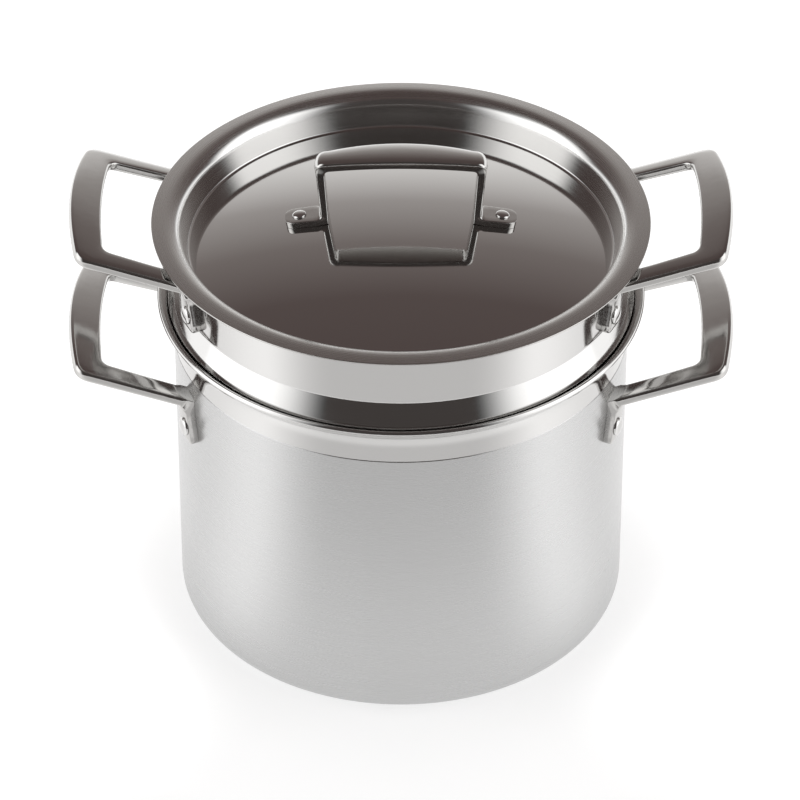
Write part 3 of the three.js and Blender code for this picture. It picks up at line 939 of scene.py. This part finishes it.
def bar_sections(outer_end, inner_end):
    """The same round the bar's corner to its middle, from the two ends of the leg's faces."""
    outer_bar = BAR_OUTER_CORNER - Vector((BAR_OUTER_ROUND, 0))
    inner_bar = BAR_INNER_CORNER - Vector((BAR_INNER_ROUND, 0))
    sections = []
    for k in range(1, CORNER_STEPS):
        t = k / CORNER_STEPS
        width = LEG_TOP_HALF_WIDTH + (BAR_END_HALF_WIDTH - LEG_TOP_HALF_WIDTH) * math.sin(math.pi / 2 * t)
        outer = bend(outer_end, BAR_OUTER_CORNER, outer_bar, t)
        sections.append((outer, bend(inner_end, BAR_INNER_CORNER, inner_bar, t), width))
    for k in range(GRIP_STEPS + 1):
        t = k / GRIP_STEPS
        swell = 1 - (1 - t) ** 2
        lift = Vector((0, BAR_ARCH * swell))
        width = BAR_END_HALF_WIDTH + (BAR_HALF_WIDTH - BAR_END_HALF_WIDTH) * swell
        outer = outer_bar.lerp(Vector((0, BAR_OUTER_CORNER.y)), t)
        inner = inner_bar.lerp(Vector((0, BAR_INNER_CORNER.y)), t)
        sections.append((outer + lift, inner + lift, width))
    return sections


def lid_bridge():
    leg = leg_sections()
    half = [(s, LUG_SOFTENING, CRISP, 0) for s in lug_sections()]
    half += [(s, LEG_SOFTENING, LEG_SOFTENING, LEG_CROWN) for s in leg]
    half += [(s, BAR_SOFTENING, BAR_SOFTENING, BAR_CROWN) for s in bar_sections(*leg[-1][:2])]
    sections = []
    for (outer, inner, width), *edges in half:
        places = ((outer, -width), (outer, width), (inner, width), (inner, -width))
        sections.append(([Vector((p.x, y, p.y)) for p, y in places], *edges))
    other = []
    for corners, *edges in sections[-2::-1]:
        other.append(([Vector((-p.x, p.y, p.z)) for p in corners], *edges))
    return loft(sections + other)


def make_lid_handle():
    make("lid_bridge", lid_bridge(), "lid", "lid_handle", [CASTING])
    square = dome_square(LID_RIVET_OFFSET)
    tilt = math.atan2(square.x, square.y)
    stud = rivet(LID_SHEET + LUG_THICKNESS, LID_RIVET_HEAD, LID_RIVET_SHANK)
    sunk = moved(stud, Matrix.Translation((0, 0, -LID_SHEET)))
    seat = Matrix.Translation((LID_RIVET_OFFSET, 0, dome_height(LID_RIVET_OFFSET)))
    for hand, half_turn in (("left", math.pi), ("right", 0)):
        place = Matrix.Rotation(half_turn, 4, "Z") @ seat @ Matrix.Rotation(tilt, 4, "Y")
        part = moved(sunk, place)
        make(f"lid_stud_{hand}", part, "lid", f"lid_rivet_{hand}", [RIVET_STEEL])


# Studio


FLOOR_RADIUS = 1.1  # metres, as all distances in the studio
FLOOR_STEPS = 128
FLOOR_COLOUR = 0.42
FLOOR_ROUGHNESS = 0.9
# The floor glows for the camera and for the steel's reflections; where the glow changes, it is painted
# light and shade, not light from a lamp.
GLOW_PAINTED_SHADOW = 0.7  # glow of the floor close round the base, dimmed there as a painted shadow
GLOW_NEAR = 0.73  # in front of the pot, dimmer than at the sides as painted shade
GLOW_FRONT_PAINTED_SHADE = 0.49  # further out in front, dimmed further as painted shade
GLOW_PAINTED_LIGHT = 1.1  # to the front left and front right, as painted pools of light
GLOW_SIDE = 0.88  # to the sides and the back
GLOW_FAR = 1  # far out all round
PAINTED_SHADOW_FULL = 0.115  # distances from the axis where a glow is full and where it has gone
PAINTED_SHADOW_GONE = 0.18
NEAR_FULL = 0.2
NEAR_GONE = 0.34
FAR_FULL = 0.95
FAR_GONE = 0.55
AHEAD_FULL = 0.88  # cosines of the angle from straight ahead where the floor is dimmed most, by painted shade
CORNER_FULL = 0.45  # and where its painted light glows most
CORNER_GONE = -0.1
TOP_PLACE = (0, 0.5, 2.2)
TOP_SIZE = (1.6, 1.6)
TOP_POWER = 12
BACK_WALL = (  # cosine of the angle from straight back, then the colour of the room there
    (0.2, (0.11, 0.085, 0.081)),
    (0.55, (0.132, 0.104, 0.099)),
    (0.74, (0.245, 0.214, 0.205)),
    (0.87, (0.455, 0.427, 0.414)),
    (0.98, (0.98, 0.965, 0.95)),
)
LOW_WHITE = 1.45
LOW_FULL = 0.08  # sine of the elevation up to which the room is white all round
LOW_GONE = 0.3
FRONT_DARK = (0.075, 0.066, 0.063)
FRONT_FROM = -0.35  # cosine of the angle from straight back where the dark side of the room begins
FRONT_TO = -0.62
SIDE_WHITE = 1.9
SIDE_FROM = 0.52  # cosine of the heading's angle from straight left or right where the side windows begin
SIDE_TO = 0.96
SIDE_FULL = 0.7  # sine of the elevation where the side windows begin to fade
SIDE_GONE = 0.9
BEHIND_FULL = 0.1  # cosine of the heading's angle from straight back where they begin to fade
BEHIND_GONE = 0.4


def seen_rays(tree):
    """One for rays from the camera or off gloss and glass, zero for scattered light."""
    rays = add(tree, "ShaderNodeLightPath", {})
    shiny = combined(tree, "MAXIMUM", rays["Is Glossy Ray"], rays["Is Transmission Ray"])
    return combined(tree, "MAXIMUM", rays["Is Camera Ray"], shiny)


def eased(tree, value, none, full, most=1):
    """A soft step from zero to the most, as a value runs between two places."""
    inputs = {"Value": value, "From Min": none, "From Max": full, "To Max": most}
    return add(tree, "ShaderNodeMapRange", inputs, interpolation_type="SMOOTHSTEP")["Result"]


def between(tree, share, a, b):
    """A value on the way from a to b."""
    return add(tree, "ShaderNodeMix", {"Factor": share, "A": a, "B": b})["Result"]


def floor_glow(tree):
    """How strongly the floor glows, by the distance from the axis and the direction from it: painted shade
    ahead, painted pools of light to the front left and right, and a painted shadow close round the base.
    """
    place = plain_coordinates(tree)
    distance = length(tree, place)
    _, back, _ = split(tree, direction(tree, place))
    # painted shade straight ahead and painted pools of light to the front left and right, which the steel
    # reflects
    in_front = eased(tree, back, -CORNER_FULL, -AHEAD_FULL)
    painted_light_share = eased(tree, back, -CORNER_GONE, -CORNER_FULL)
    near = eased(tree, distance, NEAR_GONE, NEAR_FULL)
    far = eased(tree, distance, FAR_GONE, FAR_FULL)
    # painted shadow: the glow dims close round the base
    close = eased(tree, distance, PAINTED_SHADOW_GONE, PAINTED_SHADOW_FULL)
    ahead = between(tree, near, GLOW_FRONT_PAINTED_SHADE, GLOW_NEAR)
    aside = between(tree, painted_light_share, GLOW_SIDE, GLOW_PAINTED_LIGHT)
    beyond = between(tree, far, between(tree, in_front, aside, ahead), GLOW_FAR)
    return between(tree, close, beyond, GLOW_PAINTED_SHADOW)


def floor_material():
    """Pale matt floor, with a glow that the camera and the metal see, so that it is white with a shadow,
    partly cast by the lamp and partly painted shadow in the glow.
    """
    material, tree, main = shader("floor_white_painted_glow")
    feed(tree, main, {
        "Base Color": (FLOOR_COLOUR, FLOOR_COLOUR, FLOOR_COLOUR, 1),
        "Roughness": FLOOR_ROUGHNESS,
        "Specular IOR Level": 0,
        "Emission Color": (*WHITE, 1),
        "Emission Strength": combined(tree, "MULTIPLY", seen_rays(tree), floor_glow(tree)),
    })
    return material


def make_floor():
    bpy.ops.mesh.primitive_circle_add(vertices=FLOOR_STEPS, radius=FLOOR_RADIUS, fill_type="NGON")
    floor = bpy.context.object
    floor.name = "floor"
    floor.data.materials.append(floor_material())


def make_lamp():
    """One broad soft box above and behind, which lights the floor and lays the shadow in front."""
    data = bpy.data.lights.new("top_box", "AREA")
    data.shape = "RECTANGLE"
    data.size, data.size_y = TOP_SIZE
    data.energy = TOP_POWER
    lamp = bpy.data.objects.new("top_box", data)
    lamp.location = TOP_PLACE
    lamp.rotation_euler = (-Vector(TOP_PLACE)).to_track_quat("-Z", "Y").to_euler()
    lamp.visible_camera = False
    lamp.visible_glossy = False
    bpy.context.scene.collection.objects.link(lamp)


def lightest(tree, colour, value):
    """A colour, or white of the given strength where that is lighter."""
    inputs = {"Factor": 1, "A": colour, "B": value}
    return add(tree, "ShaderNodeMix", inputs, data_type="RGBA", blend_type="LIGHTEN")["Result"]


def painted(tree, share, ground, colour):
    """A colour, and another one over it by a share."""
    inputs = {"Factor": share, "A": ground, "B": (*colour, 1)}
    return add(tree, "ShaderNodeMix", inputs, data_type="RGBA")["Result"]


def back_wall(tree, back):
    """The room's colour by how far back it lies."""
    wall = add(tree, "ShaderNodeValToRGB", {"Fac": back})["Color"]
    ramp = wall.node.color_ramp.elements
    for at, _ in BACK_WALL[1:-1]:
        ramp.new(at)
    for stop, (at, colour) in zip(ramp, BACK_WALL):
        stop.position = at
        stop.color = (*colour, 1)
    return wall


def side_windows(tree, x, y, z):
    """The strength of the tall white windows to the left and right, which fade upwards and to the back."""
    right, back, _ = split(tree, direction(tree, vector(tree, x, y, 0)))
    aside = add(tree, "ShaderNodeMath", {0: right}, operation="ABSOLUTE")["Value"]
    across = eased(tree, aside, SIDE_FROM, SIDE_TO, SIDE_WHITE)
    height = eased(tree, z, SIDE_GONE, SIDE_FULL)
    depth = eased(tree, back, BEHIND_GONE, BEHIND_FULL)
    return combined(tree, "MULTIPLY", across, combined(tree, "MULTIPLY", height, depth))


def make_world():
    """The room that the metal reflects: light behind, low and at the sides, dark above and in front."""
    world = bpy.data.worlds.new("studio")
    bpy.context.scene.world = world
    world.use_nodes = True
    tree = world.node_tree
    x, y, z = split(tree, add(tree, "ShaderNodeTexCoord", {})["Generated"])
    low = eased(tree, z, LOW_GONE, LOW_FULL, LOW_WHITE)
    in_front = eased(tree, y, FRONT_FROM, FRONT_TO)
    seen = add(tree, "ShaderNodeLightPath", {})["Is Camera Ray"]
    room = lightest(tree, back_wall(tree, y), low)
    room = painted(tree, in_front, room, FRONT_DARK)
    room = lightest(tree, room, side_windows(tree, x, y, z))
    room = painted(tree, seen, room, WHITE)
    feed(tree, tree.nodes["Background"], {"Color": room})


def make_camera():
    data = bpy.data.cameras.new("camera")
    data.lens = CAMERA_LENS
    data.sensor_width = CAMERA_SENSOR
    camera = bpy.data.objects.new("camera", data)
    camera.location = CAMERA_PLACE
    camera.rotation_euler = (math.pi / 2 - CAMERA_PITCH, 0, 0)
    bpy.context.scene.collection.objects.link(camera)
    bpy.context.scene.camera = camera


bpy.context.scene.view_settings.view_transform = "Standard"
make_camera()
make_pot()
make_insert()
make_lid()
make_side_handles("pot", POT_RADIUS, POT_SHEET, POT_HANDLE_REACH, POT_RIVET_HEIGHT)
make_side_handles("insert", COLLAR_RADIUS, INSERT_SHEET, INSERT_HANDLE_REACH, INSERT_RIVET_HEIGHT)
make_lid_handle()
make_floor()
make_lamp()
make_world()
